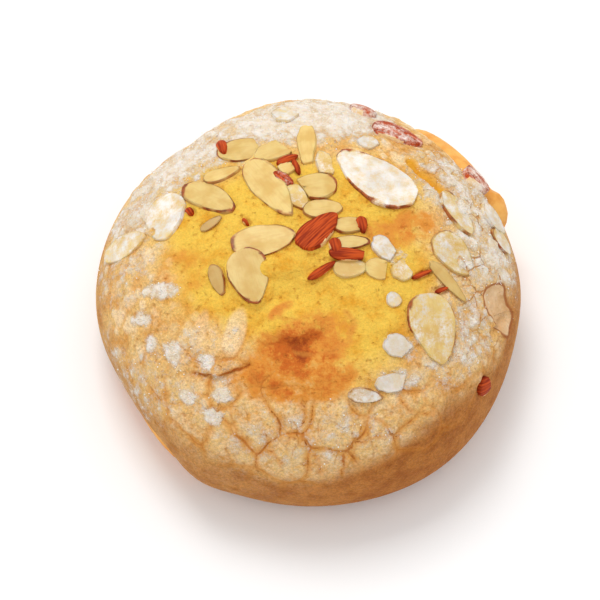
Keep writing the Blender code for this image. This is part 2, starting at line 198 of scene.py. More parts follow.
# How raggedly lines run: the size of their bends, how far they go in millimetres, and a seed.
PLATE_FRAY = (2.2 * MM, 0.5, 41)
CRACK_FRAYS = ((1.9 * MM, 0.6, 61), (0.9 * MM, 0.3, 64))
BARE_FRAY = (4 * MM, 1.1, 91)

SPIRAL_REACH = 1.2  # how far down the unnamed plates go: 1 is the level of the core, 2 the underside
INNER_SHARE = 0.7  # where the topping's rolled edge ends, as a share of the way out to the bread
PLATES = (
    Plate(-107, 27, 3.5),
    Plate(-82, 27, 5.5),
    Plate(-94, 20, 2.0),
    Plate(-71, 18, 3.5),
    Plate(-96, 31, 1.0),
    Plate(-58, 17, 2.0),
    Plate(-61, 25, 1.5),
    Plate(-114, 18, 2.0),
    Plate(-84, 15, 1.0),
    Plate(-125, 20, 1.0),
    Plate(-134, 42, 4.5),
    Plate(-118, 35, 1.0),
    Plate(-45, 20, 2.0),
    Plate(-38, 27, 2.0),
)

# Cracks that show from a step away: places along each, and its strength.
CRACKS = (
    (((-72, 26), (-76, 22), (-80, 18), (-81, 12)), 1.0),
    (((-76, 21), (-70, 22), (-64, 20)), 0.8),
    (((-92, 34), (-91, 29), (-93, 25), (-88, 20), (-86, 13)), 0.9),
    (((-103, 25), (-101, 20), (-97, 16)), 0.8),
    (((-117, 30), (-112, 24), (-110, 20)), 0.6),
    # The crease under the overlapping plate: its strong line is partly painted shadow of that plate.
    (((-131, 30), (-122, 34), (-114, 40)), 1.5),
    (((-64, 57), (-61, 53), (-67, 48), (-77, 46), (-87, 45), (-96, 46)), 0.45),
    (((-104, 62), (-113, 58), (-105, 57), (-98, 57)), 0.3),
    (((-60, 29), (-58, 24), (-52, 21)), 0.6),
)

FLAKES = {
    "brown_end": Flake(119, 42, 2, 14, 7, roll=12, pitch=10, cut=0.25, lie=0.6, skin=0.9),
    "brown_end_skin": Flake(126, 37, -75, 5.5, 2.6, lie=1.6, kind="skin"),
    "pale_shard": Flake(106, 48, 23, 11, 6, cut=0.3, skin=0.1),
    "upright_slab": Flake(90, 48, -89, 15, 4.6, roll=16, cut=0.12, skin=0),
    "skin_bar_back": Flake(102, 53, 25, 5.5, 2, roll=20, lie=1.2, kind="skin"),
    "skin_side_back": Flake(97, 57, -75, 5, 1.4, roll=20, lie=1.0, kind="skin"),
    "cream_chip_back": Flake(103, 57, 20, 4.6, 3.6, cut=0.2, lie=0.9, skin=0.2),
    "skin_crumb_back": Flake(109, 61, -42, 6.5, 2.8, roll=-18, lie=1.0, kind="skin", sugar=0.22),
    "long_slice": Flake(122, 62, -58, 20, 8, roll=8),
    "tucked_slice": Flake(102, 71, -55, 8, 5, lie=0.5, sugar=0.3),
    "rounded_half": Flake(83, 66, 183, 10.5, 8.2, roll=6, cut=0.2, skin=0.9),
    "flat_slice": Flake(65, 75, 8, 10, 5, lie=0.5, skin=0.6),
    "sugared_slice": Flake(47, 52, 144, 22.8, 12.6, roll=5, lie=1.1, skin=1, sugar=0.7),
    "skin_cap": Flake(30, 85, 45, 12, 7, roll=-8, lie=1.8, kind="skin"),
    "skin_tip": Flake(18, 72, 6, 8.5, 4.5, roll=-8, cut=0.1, lie=1.2, skin=1),
    "skin_tip_end": Flake(15, 68, -80, 4.2, 2.6, lie=1.8, kind="skin", sugar=0.05),
    "skin_block": Flake(-7, 73, 5, 9.5, 3.4, roll=6, lie=1.5, skin=1),
    "skin_block_end": Flake(-22, 78, -80, 4.6, 2.8, lie=2.0, kind="skin"),
    "skin_bar": Flake(-23, 72, -3, 9.5, 3.2, roll=14, cut=0.15, lie=2.0, kind="skin"),
    "skin_strip": Flake(-67, 75, 36, 7.5, 2, roll=24, kind="skin"),
    "under_bar": Flake(-37, 69, 1, 8.5, 4.5, lie=0.6, skin=0, sugar=0.2),
    "right_shard": Flake(-24, 60, -15, 7.5, 5, roll=8, cut=0.3, skin=0.4),
    "right_shard_sugared": Flake(-8, 60, -46, 9, 4.6, roll=-6, cut=0.25, lie=0.5, skin=0, sugar=0.6),
    "right_chip": Flake(-17, 53, 50, 6.5, 5, cut=0.3, lie=0.5, skin=0.2, sugar=0.3),
    "left_tall": Flake(-146, 63, -73, 14, 9.5, roll=-12, pitch=3, lie=0.85, skin=0.9),
    "left_broad": Flake(-178, 73, 9, 15, 8, roll=9, lie=0.45, skin=0.8),
    "red_edge": Flake(151, 48, -40, 16, 7.5, roll=-14, lie=0.6, skin=1),
    "red_edge_small": Flake(136, 45, 14, 9.5, 4.5, roll=-9, lie=0.3, skin=0.6),
    "sugared_left": Flake(164, 36, -84, 13, 11.5, roll=8, lie=0.5, skin=0.4, sugar=0.6),
    "sugared_far_left": Flake(173, 23, -7, 15, 6.5, roll=10, lie=0.5, skin=0.3, sugar=0.5),
    # grey_left is darkened to grey brown as painted shadow, over a slice's slight toasting.
    "grey_left": Flake(-156, 53, -69, 8, 3.6, roll=16, lie=0.1, skin=1, toast=0.6),
    "grey_sliver": Flake(167, 53, 28, 6, 2.2, roll=14, lie=0.4, skin=0.5, toast=0.7),
    "skin_fleck_left": Flake(161, 44, -60, 2.4, 1.8, lie=0.7, kind="skin"),
    "skin_fleck_middle": Flake(162, 65, -50, 2.2, 1.0, lie=0.5, kind="skin"),
    "skin_rim_back": Flake(57, 30, -20, 13, 6.5, roll=6, kind="skin", sugar=0.32),
    "skin_rim_right": Flake(30, 21, -11, 8.5, 7.5, roll=-4, lie=2.0, kind="skin", sugar=0.42),
    "right_sunk": Flake(17, 34, -53, 13, 7, roll=-12, lie=0.15, skin=0.7, sugar=0.5),
    "right_wide": Flake(-1.5, 38, -34, 13, 9, pitch=8, lie=0.2, skin=0.6, sugar=0.4),
    "yellow_stick": Flake(-14, 39, -42, 12.5, 3, roll=18, skin=0, toast=0.3),
    "right_large": Flake(-34, 37, -76, 17, 11.5, roll=8, lie=0.5, skin=0.8, sugar=0.35),
    "skin_strip_right": Flake(-16, 47, 28, 5.5, 1.3, roll=10, lie=0.7, kind="skin"),
    "skin_bit_right": Flake(-19, 40, 25, 3.6, 1.2, lie=0.7, kind="skin"),
    "pale_low": Flake(-50, 40, -27, 8.5, 5, cut=0.25, lie=0.3, skin=0, sugar=0.8),
    "pale_lower": Flake(-59, 33, 7, 8.5, 4.5, cut=0.2, lie=0.3, skin=0, sugar=0.8),
    "grey_low": Flake(-70, 33, -7, 8, 3.6, roll=10, skin=0.6, sugar=0.55, toast=0.8),
    "skin_chip_side": Flake(-33, 12, -2, 6, 4.5, cut=0.3, lie=0.5, kind="skin"),
    "pale_disc": Flake(-36, 51, 4, 3.8, 3.6, lie=0.3, skin=0, sugar=0.6),
    "slab_back": Flake(62, 40, -29, 7, 4.5, cut=0.3, lie=0.3, skin=0, sugar=0.6),
    "slab_beside": Flake(78, 56, -82, 10, 4.5, roll=-10, cut=0.3, lie=0.5, skin=0, sugar=0.4),
    "skin_rim_low": Flake(9, 20, -29, 8, 4.5, roll=12, skin=0.8, sugar=0.6),
    "sugared_rim": Flake(16, 21, -16, 9, 6.5, lie=1.0, skin=0.4, sugar=0.7),
    "far_skin": Flake(72, 23, -42, 8, 5, kind="skin", sugar=0.4),
    "far_slab": Flake(97, 31, 54, 9, 6, roll=8, cut=0.3, lie=0.5, skin=0.2, sugar=0.6),
}
SLICE_THICK = 1.0 * MM
SKIN_THICK = 1.7 * MM
DRAPE = 0.55  # share of the dome's curve that a slice follows
SLICE_RINGS = (0.03, 0.05, 0.12, 0.25, 0.3)  # from the rim inwards, as shares of the slice
FLAKE_TAPER = 0.22  # how much narrower than its middle a slice is at its pointed end
RIM_ANGLE = 1.0  # between the faces that meet at a slice's rim, at least
RIM_BEVEL = 0.16 * MM
SKIN_BULGE = 0.8 * MM
SLICE_WAVE = 0.1 * MM
SLICE_DISH = 0.08 * MM
SEAT_RANGE = (-1.2 * MM, 1.4 * MM)  # how far the crust sinks or rises to meet a slice
ALMOND_PAINTS = ("rim", "sugar", "toast", "shade")
GRAIN_RADII = (0.09, 0.24)  # of the loose sugar, in millimetres
GRAIN_NUDGE = 0.3

# Powdered sugar, and places where the oven browned the sponge: rise is the amount.
SUGAR = (
    Spot(84, 31, 0, 26, 17, 1.0),
    Spot(125, 30, 0, 26, 16, 0.7),
    Spot(155, 27, 0, 20, 16, 0.6),
    Spot(-150, 8, 0, 22, 14, 0.4),
    Spot(178, 22, 0, 20, 20, 0.35),
    Spot(30, 30, 0, 20, 16, 0.65),
    Spot(0, 27, 0, 20, 20, 0.6),
    Spot(-30, 30, 0, 17, 13, 0.55),
    Spot(-92, 24, 0, 36, 13, 0.3),
    Spot(-135, 30, 0, 20, 16, 0.3),
    Spot(-163, 37, 0, 5, 3, 0.9),
    Spot(-119, 30, 0, 4, 2.4, 1.0),
    Spot(-129, 24, 0, 3.4, 2.4, 0.9),
    Spot(-130, 35, 0, 3.4, 2.2, 0.9),
    Spot(-150, 26, 0, 2.6, 3, 0.8),
    Spot(-119, 24, 0, 3.4, 3, 0.8),
    Spot(-159, 27, 0, 4, 3, 0.8),
    Spot(-166, 33, 0, 4, 3, 0.8),
    Spot(-142, 30, 0, 3, 4, 0.7),
    Spot(-127, 46, -102, 5, 2, 0.25),
    Spot(-50, 40, -27, 6, 4.5, 0.6),
    Spot(-58, 33, 7, 7, 4.5, 0.7),
    Spot(-8, 58, -46, 7, 4.5, 0.4),
    Spot(-47, 27, 0, 10, 7, 0.25),
)
BROWNING = (
    Spot(-87, 51, 10, 14, 8.5, 0.42),
    Spot(-94, 52, 0, 7, 4.5, 0.4),
    Spot(-111, 47, -20, 5, 4, 0.35),
    Spot(-110, 59, 35, 5, 2, 0.4),
    Spot(-95, 40, 0, 20, 8.5, 0.56),
    Spot(5, 60, 0, 9, 6, 0.35),
    Spot(12, 49, 0, 7, 6, 0.35),
    Spot(-168, 44, 0, 10, 8, 0.2),
)
# Pale, smooth plates among the rest.
PALE = (
    Spot(-134, 41, 20, 8, 7, 0.12),
    Spot(140, 27, 0, 32, 17, 0.35),
    Spot(92, 27, 0, 26, 15, 0.35),
    Spot(5, 28, 0, 24, 17, 0.25),
    Spot(-127, 46, -102, 7, 2.8, 0.7),
    Spot(-140, 40, 75, 6, 2, 0.45),
)
YOLK_EDGE = 40  # lift at which the sponge turns from yellow to tan
YOLK_LOBES = (Lobe(165, 40, -7), Lobe(80, 35, 10), Lobe(-93, 25, 3))
# The tan side reaches higher towards the front right: painted shade.
SIDE_LOBES = (Lobe(-45, 22, 8), Lobe(-75, 25, 2))
BARE_PATCH = Spot(-12, 18, -32, 9, 6, 1.0)

# View, light and floor.
VIEW_LIFT = 64
VIEW_DISTANCE = 0.60
VIEW_WIDTH = 0.1475
SENSOR = 36
LOOK_AT = Vector((-1.72 * MM, 0, 20.5 * MM))
LOOK_LOWER = 2.2 * MM
SKY_STRENGTH = 0.84
KEY_PLACE, KEY_SIZE, KEY_POWER = (-0.12, 0.3, 0.75), 0.3, 2.5
FLOOR_REACH = 1.5
FLOOR_WHITE = (0.97, 0.97, 0.97, 1)


def direction(bearing, lift):
    """The unit vector that points from the core at a bearing and a lift, both in degrees."""
    turn, rise = math.radians(bearing), math.radians(lift)
    return np.array([math.cos(rise) * math.cos(turn), math.cos(rise) * math.sin(turn), math.sin(rise)])


def bearing_and_lift(ways):
    """Bearing and lift, in degrees, of unit vectors in rows."""
    bearing = np.degrees(np.arctan2(ways[:, 1], ways[:, 0]))
    return bearing, np.degrees(np.arcsin(np.clip(ways[:, 2], -1, 1)))


def smooth_step(low, high, value):
    """0 below low, 1 above high, and an even S between them."""
    share = np.clip((value - low) / (high - low), 0, 1)
    return share * share * (3 - 2 * share)


def turn_from(middle, bearing):
    """How far each bearing is from the middle one, between -180 and 180 degrees."""
    return (bearing - middle + 180) % 360 - 180


def nearness(middle, spread, bearing):
    """1 at the middle bearing, fading away over about the spread to either side."""
    return np.exp(-((turn_from(middle, bearing) / spread) ** 2))


def sum_of_lobes(lobes, bearing, power=2):
    """What the lobes add at each bearing. A higher power gives them a broad top and short flanks."""
    total = np.zeros(len(bearing))
    for lobe in lobes:
        apart = turn_from(lobe.bearing, bearing)
        total += lobe.share * np.exp(-(np.abs(apart / lobe.spread) ** power))
    return total


def waves(ways, count, pitch, seed):
    """An even, irregular undulation between about -1 and 1, from plane waves in seeded directions."""
    draw = random.Random(seed)
    total = np.zeros(len(ways))
    for _ in range(count):
        axis = np.array([draw.gauss(0, 1) for _ in range(3)])
        axis *= pitch / np.linalg.norm(axis)
        total += np.sin(ways @ axis + draw.uniform(0, math.tau))
    return total * math.sqrt(2 / count) / 1.6


def scatter(cells, seed):
    """A number from 0 to 1 for each whole-numbered cell, the same each time."""
    mixed = cells @ np.array([73856093, 19349663, 83492791]) + seed * 26544357
    mixed = (mixed ^ (mixed >> 13)) * 1274126177 & 0x7FFFFFFF
    mixed = (mixed ^ (mixed >> 16)) * 668265263 & 0x7FFFFFFF
    return (mixed ^ (mixed >> 15)) % 65536 / 65536


def lumps(points, size, seed):
    """A smooth random height between -1 and 1, with humps about one size across."""
    cells = points / size
    corner = np.floor(cells).astype(np.int64)
    part = cells - corner
    part = part * part * (3 - 2 * part)
    total = np.zeros(len(points))
    for side in itertools.product((0, 1), repeat=3):
        share = np.prod(np.where(side, part, 1 - part), axis=1)
        total += share * (2 * scatter(corner + side, seed) - 1)
    return total


def dome_reach(ways):
    """Distance from the core to the topping's smooth outer form, in each direction."""
    bearing, _ = bearing_and_lift(ways)
    flat = np.hypot(ways[:, 0], ways[:, 1]) / (ACROSS / 2 * (1 + sum_of_lobes(OUTLINE_LOBES, bearing)))
    upright = np.abs(ways[:, 2]) / np.where(ways[:, 2] > 0, TALL - CORE_HEIGHT, UNDER_REACH)
    even = (flat**ROUNDNESS + upright**ROUNDNESS) ** (-1 / ROUNDNESS)
    return even + UNEVEN * waves(ways, 9, 6.0, seed=4)


def lip_lift(bearing):
    """Lift of the topping's lower edge at each bearing, in degrees."""
    ragged = 1.2 * np.sin(np.radians(5 * bearing + 40)) + 0.8 * np.sin(np.radians(13 * bearing))
    return LIP_LIFT + ragged + sum_of_lobes(LIP_RISES, bearing, power=4)


def bread_reach(ways):
    """Distance from the core to the bread's surface, in each direction, before its base is cut flat."""
    bearing, lift = bearing_and_lift(ways)
    layer = TOPPING_AT_SIDE + (TOPPING_AT_TOP - TOPPING_AT_SIDE) * np.clip(ways[:, 2], 0, 1) ** 2
    below_lip = 1 - smooth_step(-6, 2, lift - lip_lift(bearing))
    smooth = dome_reach(ways)
    swell = sum_of_lobes(BREAD_SWELLS, bearing, power=4)
    swell += spot_field(BREAD_SPOTS, ways * smooth[:, None] + CORE)
    return smooth - layer + swell * below_lip


def on_dome(bearing, lift):
    """A point of the topping's smooth form."""
    way = direction(bearing, lift)
    return Vector(way * dome_reach(way[None])[0] + CORE)


def outward(bearing, lift):
    """The direction that faces straight out of the topping's smooth form there."""
    step = 1.5
    along = on_dome(bearing, min(lift + step, 89.9)) - on_dome(bearing, lift - step)
    across = on_dome(bearing + step, lift) - on_dome(bearing - step, lift)
    return across.cross(along).normalized()


def local_frame(item):
    """A matrix at an item's place on the dome: X at its turn from the +X of the bun, and Z facing out."""
    normal = outward(item.bearing, item.lift)
    level = Vector((1, 0, 0))
    level = (level - level.dot(normal) * normal).normalized()
    side = normal.cross(level)
    turned = Matrix((level, side, normal)).transposed().to_4x4()
    spin = Matrix.Rotation(math.radians(item.turn), 4, "Z")
    return Matrix.Translation(on_dome(item.bearing, item.lift)) @ turned @ spin


def moved(place, points):
    """Points in rows, moved by a matrix."""
    turned = np.array(place)
    return points @ turned[:3, :3].T + turned[:3, 3]


def in_frame(place, points):
    """Points in rows, as coordinates of a local frame."""
    return moved(place.inverted(), points)


def spot_field(spots, points, core=0.35):
    """What the spots add at each point: all of their rise out to the core share of their size."""
    total = np.zeros(len(points))
    for spot in spots:
        local = in_frame(local_frame(spot), points)
        apart = np.hypot(local[:, 0] / (spot.long * MM), local[:, 1] / (spot.wide * MM))
        total += spot.rise * (1 - smooth_step(core, 1.0, apart)) * (np.abs(local[:, 2]) < spot.long * MM)
    return total


def distance_to_path(points, places):
    """How far each point is from a line through places on the crust, and how far along it, as a share."""
    corners = [np.array(on_dome(*place)) for place in places]
    nearest = np.full(len(points), 1.0)
    along = np.zeros(len(points))
    for i, (start, end) in enumerate(zip(corners, corners[1:])):
        run = end - start
        share = np.clip((points - start) @ run / (run @ run), 0, 1)
        apart = np.linalg.norm(points - start - share[:, None] * run, axis=1)
        along = np.where(apart < nearest, (i + share) / (len(corners) - 1), along)
        nearest = np.minimum(nearest, apart)
    return nearest, along


def split_relief(points):
    """Height that the splits take away at each point, most at their middles."""
    height = np.zeros(len(points))
    for split in SPLITS:
        apart, along = distance_to_path(points, split.places)
        middle = 4 * along * (1 - along)
        height -= split.deep * (0.35 + 0.65 * middle) * (1 - smooth_step(0, split.wide, apart))
    return height


def frayed(points, size, far, seed):
    """What shifts each point raggedly, much the same for points near each other."""
    return np.stack([lumps(points, size, seed + axis) for axis in range(3)], axis=1) * far * MM


def plate_middles():
    """Middles of the crust's plates and their extra reach: those named, and an even spiral round them."""
    draw = random.Random(PLATE_SEED)
    middles = [np.array(on_dome(plate.bearing, plate.lift)) for plate in PLATES]
    extra = [plate.extra * MM for plate in PLATES]
    named = np.array(middles)
    taken = PLATE_SPACING + np.array(extra) / 2
    count = round(math.tau * (ACROSS / 2) ** 2 / PLATE_SPACING**2)
    golden = math.pi * (3 - math.sqrt(5))
    for i in range(count):
        rise = math.degrees(math.asin(1 - SPIRAL_REACH * (i + 0.5) / count)) + draw.uniform(-4, 4)
        middle = np.array(on_dome(math.degrees(golden * i) + draw.uniform(-5, 5), rise))
        reach = draw.uniform(0, 2) * MM
        if (np.linalg.norm(named - middle, axis=1) > taken).all():
            middles.append(middle)
            extra.append(reach)
    return np.array(middles), np.array(extra)


def distance_to_crack(ways, points):
    """How far each point is from the nearest line between two plates."""
    middles, extra = plate_middles()
    wobble = np.stack([waves(ways, 8, 30.0, seed=k) for k in (31, 32, 33)], axis=1) * CRACK_WANDER
    wandered = points + wobble + frayed(points, *PLATE_FRAY)
    apart = np.empty(len(points))
    for low in range(0, len(points), POINTS_AT_ONCE):
        part = wandered[low : low + POINTS_AT_ONCE]
        power = ((part[:, None] - middles[None]) ** 2).sum(2) - extra**2
        order = np.argpartition(power, 1, axis=1)[:, :2]
        pair = np.take_along_axis(power, order, axis=1)
        span = np.linalg.norm(middles[order[:, 0]] - middles[order[:, 1]], axis=1)
        apart[low : low + POINTS_AT_ONCE] = np.abs(pair[:, 1] - pair[:, 0]) / (2 * span)
    return apart


def belt(ways):
    """How strongly the crust is crackled: full round the shoulder, fading to the middle and the side."""
    bearing, lift = bearing_and_lift(ways)
    upper = 1 - smooth_step(-6, 6, lift + raggedness(ways) - yolk_edge(bearing) + 4)
    lower = smooth_step(*CRUST_FADES, lift + 2.5 * waves(ways, 6, 12.0, seed=8))
    return upper * lower


def frontness(bearing):
    """1 at the front of the bun, where the crust broke into plates, fading to the sides."""
    return nearness(-90, 50, bearing)


def yolk_edge(bearing):
    """Lift at which the crackled belt gives way to the smooth yellow middle."""
    return YOLK_EDGE + sum_of_lobes(YOLK_LOBES, bearing)


def raggedness(ways):
    """How far the edge of the yellow middle strays up or down, in degrees."""
    return YOLK_RAGGED * waves(ways, 6, 9.0, seed=7)


def distance_to_cracks(points):
    """How far each point is from the nearest of the cracks by name, further for the weaker ones."""
    wandered = points + sum(frayed(points, *fray) for fray in CRACK_FRAYS)
    nearest = np.full(len(points), 1.0)
    for places, strength in CRACKS:
        apart, _ = distance_to_path(wandered, places)
        nearest = np.minimum(nearest, apart + (1 - strength) * 0.3 * MM)
    return nearest


def cobbles(points):
    """Islands of risen crust, large and small: from 0 between them to as much as 1 on the palest."""
    islands = np.zeros(len(points))
    for i, size in enumerate(COBBLE_SIZES):
        top, own = scattered_lumps(points, size, 70 + 10 * i)
        islands = np.maximum(islands, top * smooth_step(0.2, 0.9, own))
    return islands


def scattered_lumps(points, size, seed):
    """Ragged lumps about one size apart: from 1 on their tops to 0 between, and a number for each lump."""
    cells = points / size
    corner = np.floor(cells).astype(np.int64)
    nearest = np.full(len(points), 9.0)
    own = np.zeros(len(points))
    for side in itertools.product((-1, 0, 1), repeat=3):
        cell = corner + side
        draws = [scatter(cell, seed + k) for k in range(4)]
        apart = np.linalg.norm(cells - cell - np.stack(draws[:3], axis=1), axis=1)
        closer = apart < nearest
        nearest = np.where(closer, apart, nearest)
        own = np.where(closer, draws[3], own)
    ragged = 0.14 * lumps(points, 0.5 * size, seed) + 0.1 * lumps(points, 0.2 * size, seed + 1)
    return 1 - smooth_step(0.3, 0.56, nearest + ragged), own


def flake_frame(flake):
    """The matrix that sets a slice on the dome, with its roll and pitch."""
    roll = Matrix.Rotation(math.radians(flake.roll), 4, "X")
    pitch = Matrix.Rotation(math.radians(flake.pitch), 4, "Y")
    return local_frame(flake) @ (roll @ pitch)


def seat_flakes(points, height):
    """The crust's height where it is pressed under the slices and has risen to meet their edges."""
    for flake in sorted(FLAKES.values(), key=lambda flake: -flake.lie):
        local = in_frame(flake_frame(flake), points)
        long, wide = flake.half
        apart = np.hypot(local[:, 0] / long, local[:, 1] / wide)
        beyond = (apart - 1) * (long + wide) / 2
        near = (1 - smooth_step(-0.2 * MM, 1.6 * MM, beyond)) * (np.abs(local[:, 2]) < 6 * MM)
        if flake.cut:
            near *= 1 - smooth_step(-0.2 * MM, 1.2 * MM, local[:, 0] - long * (1 - 2 * flake.cut))
        near *= 1 - smooth_step(-0.15 * MM, 0.3 * MM, local[:, 2] + height - flake.lie * MM)
        seat = flake.lie * MM - 0.7 * flake.thick - (1 - DRAPE) * local[:, 2]
        height = height * (1 - near) + np.clip(seat, *SEAT_RANGE) * near
    return height


def topping_height(ways, points):
    """Relief of the crust above its smooth form, without its lip."""
    bearing, lift = bearing_and_lift(ways)
    crackled = belt(ways)
    front = frontness(bearing)
    crack = distance_to_crack(ways, points)
    plates = PLATE_SWELL * smooth_step(0, 2.8 * MM, crack)
    plates = plates - CRACK_DEEP * (1 - smooth_step(0, CRACK_WIDE, crack))
    path = CRACK_DEEP * (1 - smooth_step(0, CRACK_WIDE, distance_to_cracks(points)))
    sponge = smooth_step(12, 30, lift)
    height = spot_field(SPOTS, points) + split_relief(points) + plates * crackled * front - path
    height += COBBLE_SWELL * cobbles(points) * crackled * (1 - 0.7 * front)
    for i, (size, tall, more, side) in enumerate(HUMPS):
        humps = (tall + more * crackled) * MM * lumps(points, size, HUMPS_SEED + i)
        height += humps * (side + (1 - side) * sponge)
    return seat_flakes(points, height)


def topping_reach(ways):
    """Distance from the core to the topping's outer skin and, below its lip, to a point in the bread."""
    bearing, lift = bearing_and_lift(ways)
    smooth = dome_reach(ways)
    height = topping_height(ways, ways * smooth[:, None] + CORE)
    above = lift - lip_lift(bearing)
    thin_edge = LIP_THINS * (1 - smooth_step(0, 4, above))
    skin = smooth + height * smooth_step(1, 6, above) - thin_edge - SHRINK
    inside = INNER_SHARE * bread_reach(ways)
    return inside + (skin - inside) * smooth_step(-LIP_TURN_IN, 0, above)


def points_of(mesh):
    """A mesh's points, in rows."""
    points = np.empty(len(mesh.vertices) * 3)
    mesh.vertices.foreach_get("co", points)
    return points.reshape(-1, 3)


def ways_of(points):
    """Directions of points from the core, and nothing of their distance."""
    rays = points - CORE
    return rays / np.linalg.norm(rays, axis=1)[:, None]


def piece_from(name, form):
    """A new object at the origin from a finished bmesh."""
    mesh = bpy.data.meshes.new(name)
    form.to_mesh(mesh)
    form.free()
    mesh.shade_smooth()
    piece = bpy.data.objects.new(name, mesh)
    bpy.context.scene.collection.objects.link(piece)
    return piece


def paint(piece, name, amount):
    """Keeps a number at each point of a piece, for its material to read."""
    layer = piece.data.attributes.new(name, "FLOAT", "POINT")
    layer.data.foreach_set("value", np.asarray(amount, np.float32))


def pull_out(piece, reach):
    """Moves each point of a ball about the origin out to reach(direction) from the core."""
    rays = points_of(piece.data)
    rays /= np.linalg.norm(rays, axis=1)[:, None]
    piece.data.vertices.foreach_set("co", (rays * reach(rays)[:, None] + CORE).ravel())
    piece.data.update()


def apply_modifiers(piece):
    """Makes the mesh what the object's modifiers show, and removes them."""
    bpy.context.view_layer.update()
    graph = bpy.context.evaluated_depsgraph_get()
    shown = bpy.data.meshes.new_from_object(piece.evaluated_get(graph))
    piece.modifiers.clear()
    piece.data = shown
    shown.name = piece.name


def bread_ball(fineness, margin=0.0):
    """The bread's whole form, not yet cut flat, grown by a margin."""
    ball = bmesh.new()
    bmesh.ops.create_icosphere(ball, subdivisions=fineness, radius=1)
    bread = piece_from("bread_loaf", ball)
    pull_out(bread, lambda ways: bread_reach(ways) + margin)
    return bread


def make_bread():
    """The bread: its form cut flat at the level it stands on."""
    bread = bread_ball(BREAD_SPHERE)
    form = bmesh.new()
    form.from_mesh(bread.data)
    everything = form.verts[:] + form.edges[:] + form.faces[:]
    bmesh.ops.bisect_plane(form, geom=everything, plane_co=(0, 0, 0), plane_no=(0, 0, -1), clear_outer=True)
    bmesh.ops.contextual_create(form, geom=[edge for edge in form.edges if edge.is_boundary])
    bmesh.ops.recalc_face_normals(form, faces=form.faces)
    form.to_mesh(bread.data)
    form.free()
    bread.data.shade_smooth()
    bread.data.set_sharp_from_angle(angle=math.radians(SHARP_ABOVE))
    return bread


def make_topping():
    """The crackled sponge: a fine shell over the bread, with its edge rolled in."""
    ball = bmesh.new()
    bmesh.ops.create_icosphere(ball, subdivisions=TOPPING_SPHERE, radius=1)
    level = math.sin(math.radians(FINE_ABOVE))
    upper = [edge for edge in ball.edges if min(corner.co.z for corner in edge.verts) > level]
    bmesh.ops.subdivide_edges(ball, edges=upper, cuts=1, use_grid_fill=True)
    bmesh.ops.triangulate(ball, faces=[face for face in ball.faces if len(face.verts) > 3])
    topping = piece_from("sponge_topping", ball)
    pull_out(topping, topping_reach)
    filler = bread_ball(BREAD_SPHERE, GAP)
    cut = topping.modifiers.new("hollow", "BOOLEAN")
    cut.operation = "DIFFERENCE"
    cut.object = filler
    cut.solver = "MANIFOLD"
    apply_modifiers(topping)
    bpy.data.objects.remove(filler)
    topping.data.shade_smooth()
    paint_topping(topping)
    return topping


def paint_topping(topping):
    """Where the sponge is crackled, yellow, browned, sugared or bare, for its material."""
    ways = ways_of(points_of(topping.data))
    bearing, lift = bearing_and_lift(ways)
    on_form = ways * dome_reach(ways)[:, None] + CORE
    uneven, front, crackled = raggedness(ways), frontness(bearing), belt(ways)
    islands = cobbles(on_form)
    pale = spot_field(PALE, on_form, core=0.7)
    # The side's tan is its own colour, made stronger towards the front right as painted shade.
    tan_and_shade = 0.4 + 0.6 * nearness(-60, 75, bearing)
    above_side = lift + 0.6 * uneven - sum_of_lobes(SIDE_LOBES, bearing)
    dusted = np.clip(spot_field(SUGAR, on_form, core=0.3), 0, 1.1)
    to_tear, _ = distance_to_path(on_form, TEAR.places)
    painted = {
        "crack": np.clip(distance_to_crack(ways, on_form) / MM, 0, 4),
        "path": np.clip(distance_to_cracks(on_form) / MM, 0, 4),
        "front": front,
        "belt": crackled,
        "lined": crackled * np.maximum(0.45 * front, nearness(5, 40, bearing)),
        "cobble": np.maximum(islands * smooth_step(8, 16, lift) * (1 - 0.6 * front), pale),
        "yolk": smooth_step(-7, 8, lift + uneven - yolk_edge(bearing)) * (1 - pale),
        "side": (1 - smooth_step(7, 17, above_side)) * tan_and_shade,
        "sugar": dusted * (0.7 + 0.5 * islands),
        "brown": np.clip(spot_field(BROWNING, on_form, core=0.4), 0, 1),
        "bare": spot_field((BARE_PATCH,), on_form + frayed(on_form, *BARE_FRAY), core=0.6),
        "torn": 1 - smooth_step(0.8 * MM, 2.2 * MM, to_tear),
    }
    for name, amount in painted.items():
        paint(topping, name, amount)


def slice_sheet(flake, draw):
    """A flat, ringed sheet in the outline of a slice, with its broken part cut away."""
    sheet = bmesh.new()
    bmesh.ops.create_circle(sheet, cap_ends=True, segments=SLICE_SIDES, radius=1)
    middle = sheet.faces[:]
    for width in SLICE_RINGS:
        bmesh.ops.inset_region(sheet, faces=middle, thickness=width, use_boundary=True)
    bmesh.ops.poke(sheet, faces=middle)
    long, wide = flake.half
    phase = [draw.uniform(0, math.tau) for _ in range(3)]
    ragged = 2.2 if flake.cut and flake.skin < 0.3 else 1
    for corner in sheet.verts:
        turn = math.atan2(corner.co.y, corner.co.x)
        uneven = 1 + 0.04 * math.sin(2 * turn + phase[0]) + 0.03 * ragged * math.sin(3 * turn + phase[1])
        uneven += 0.015 * ragged * (math.sin(7 * turn + phase[2]) + 0.7 * math.sin(11 * turn + 2 * phase[2]))
        across = corner.co.y * (1 - FLAKE_TAPER * corner.co.x)
        corner.co = Vector((corner.co.x * long * uneven, across * wide * uneven, 0))
    if flake.cut:
        lean = draw.uniform(-0.5, 0.5)
        bmesh.ops.bisect_plane(
            sheet,
            geom=sheet.verts[:] + sheet.edges[:] + sheet.faces[:],
            plane_co=(long * (1 - 2 * flake.cut), 0, 0),
            plane_no=(1, lean, 0),
            clear_outer=True,
        )
    return sheet


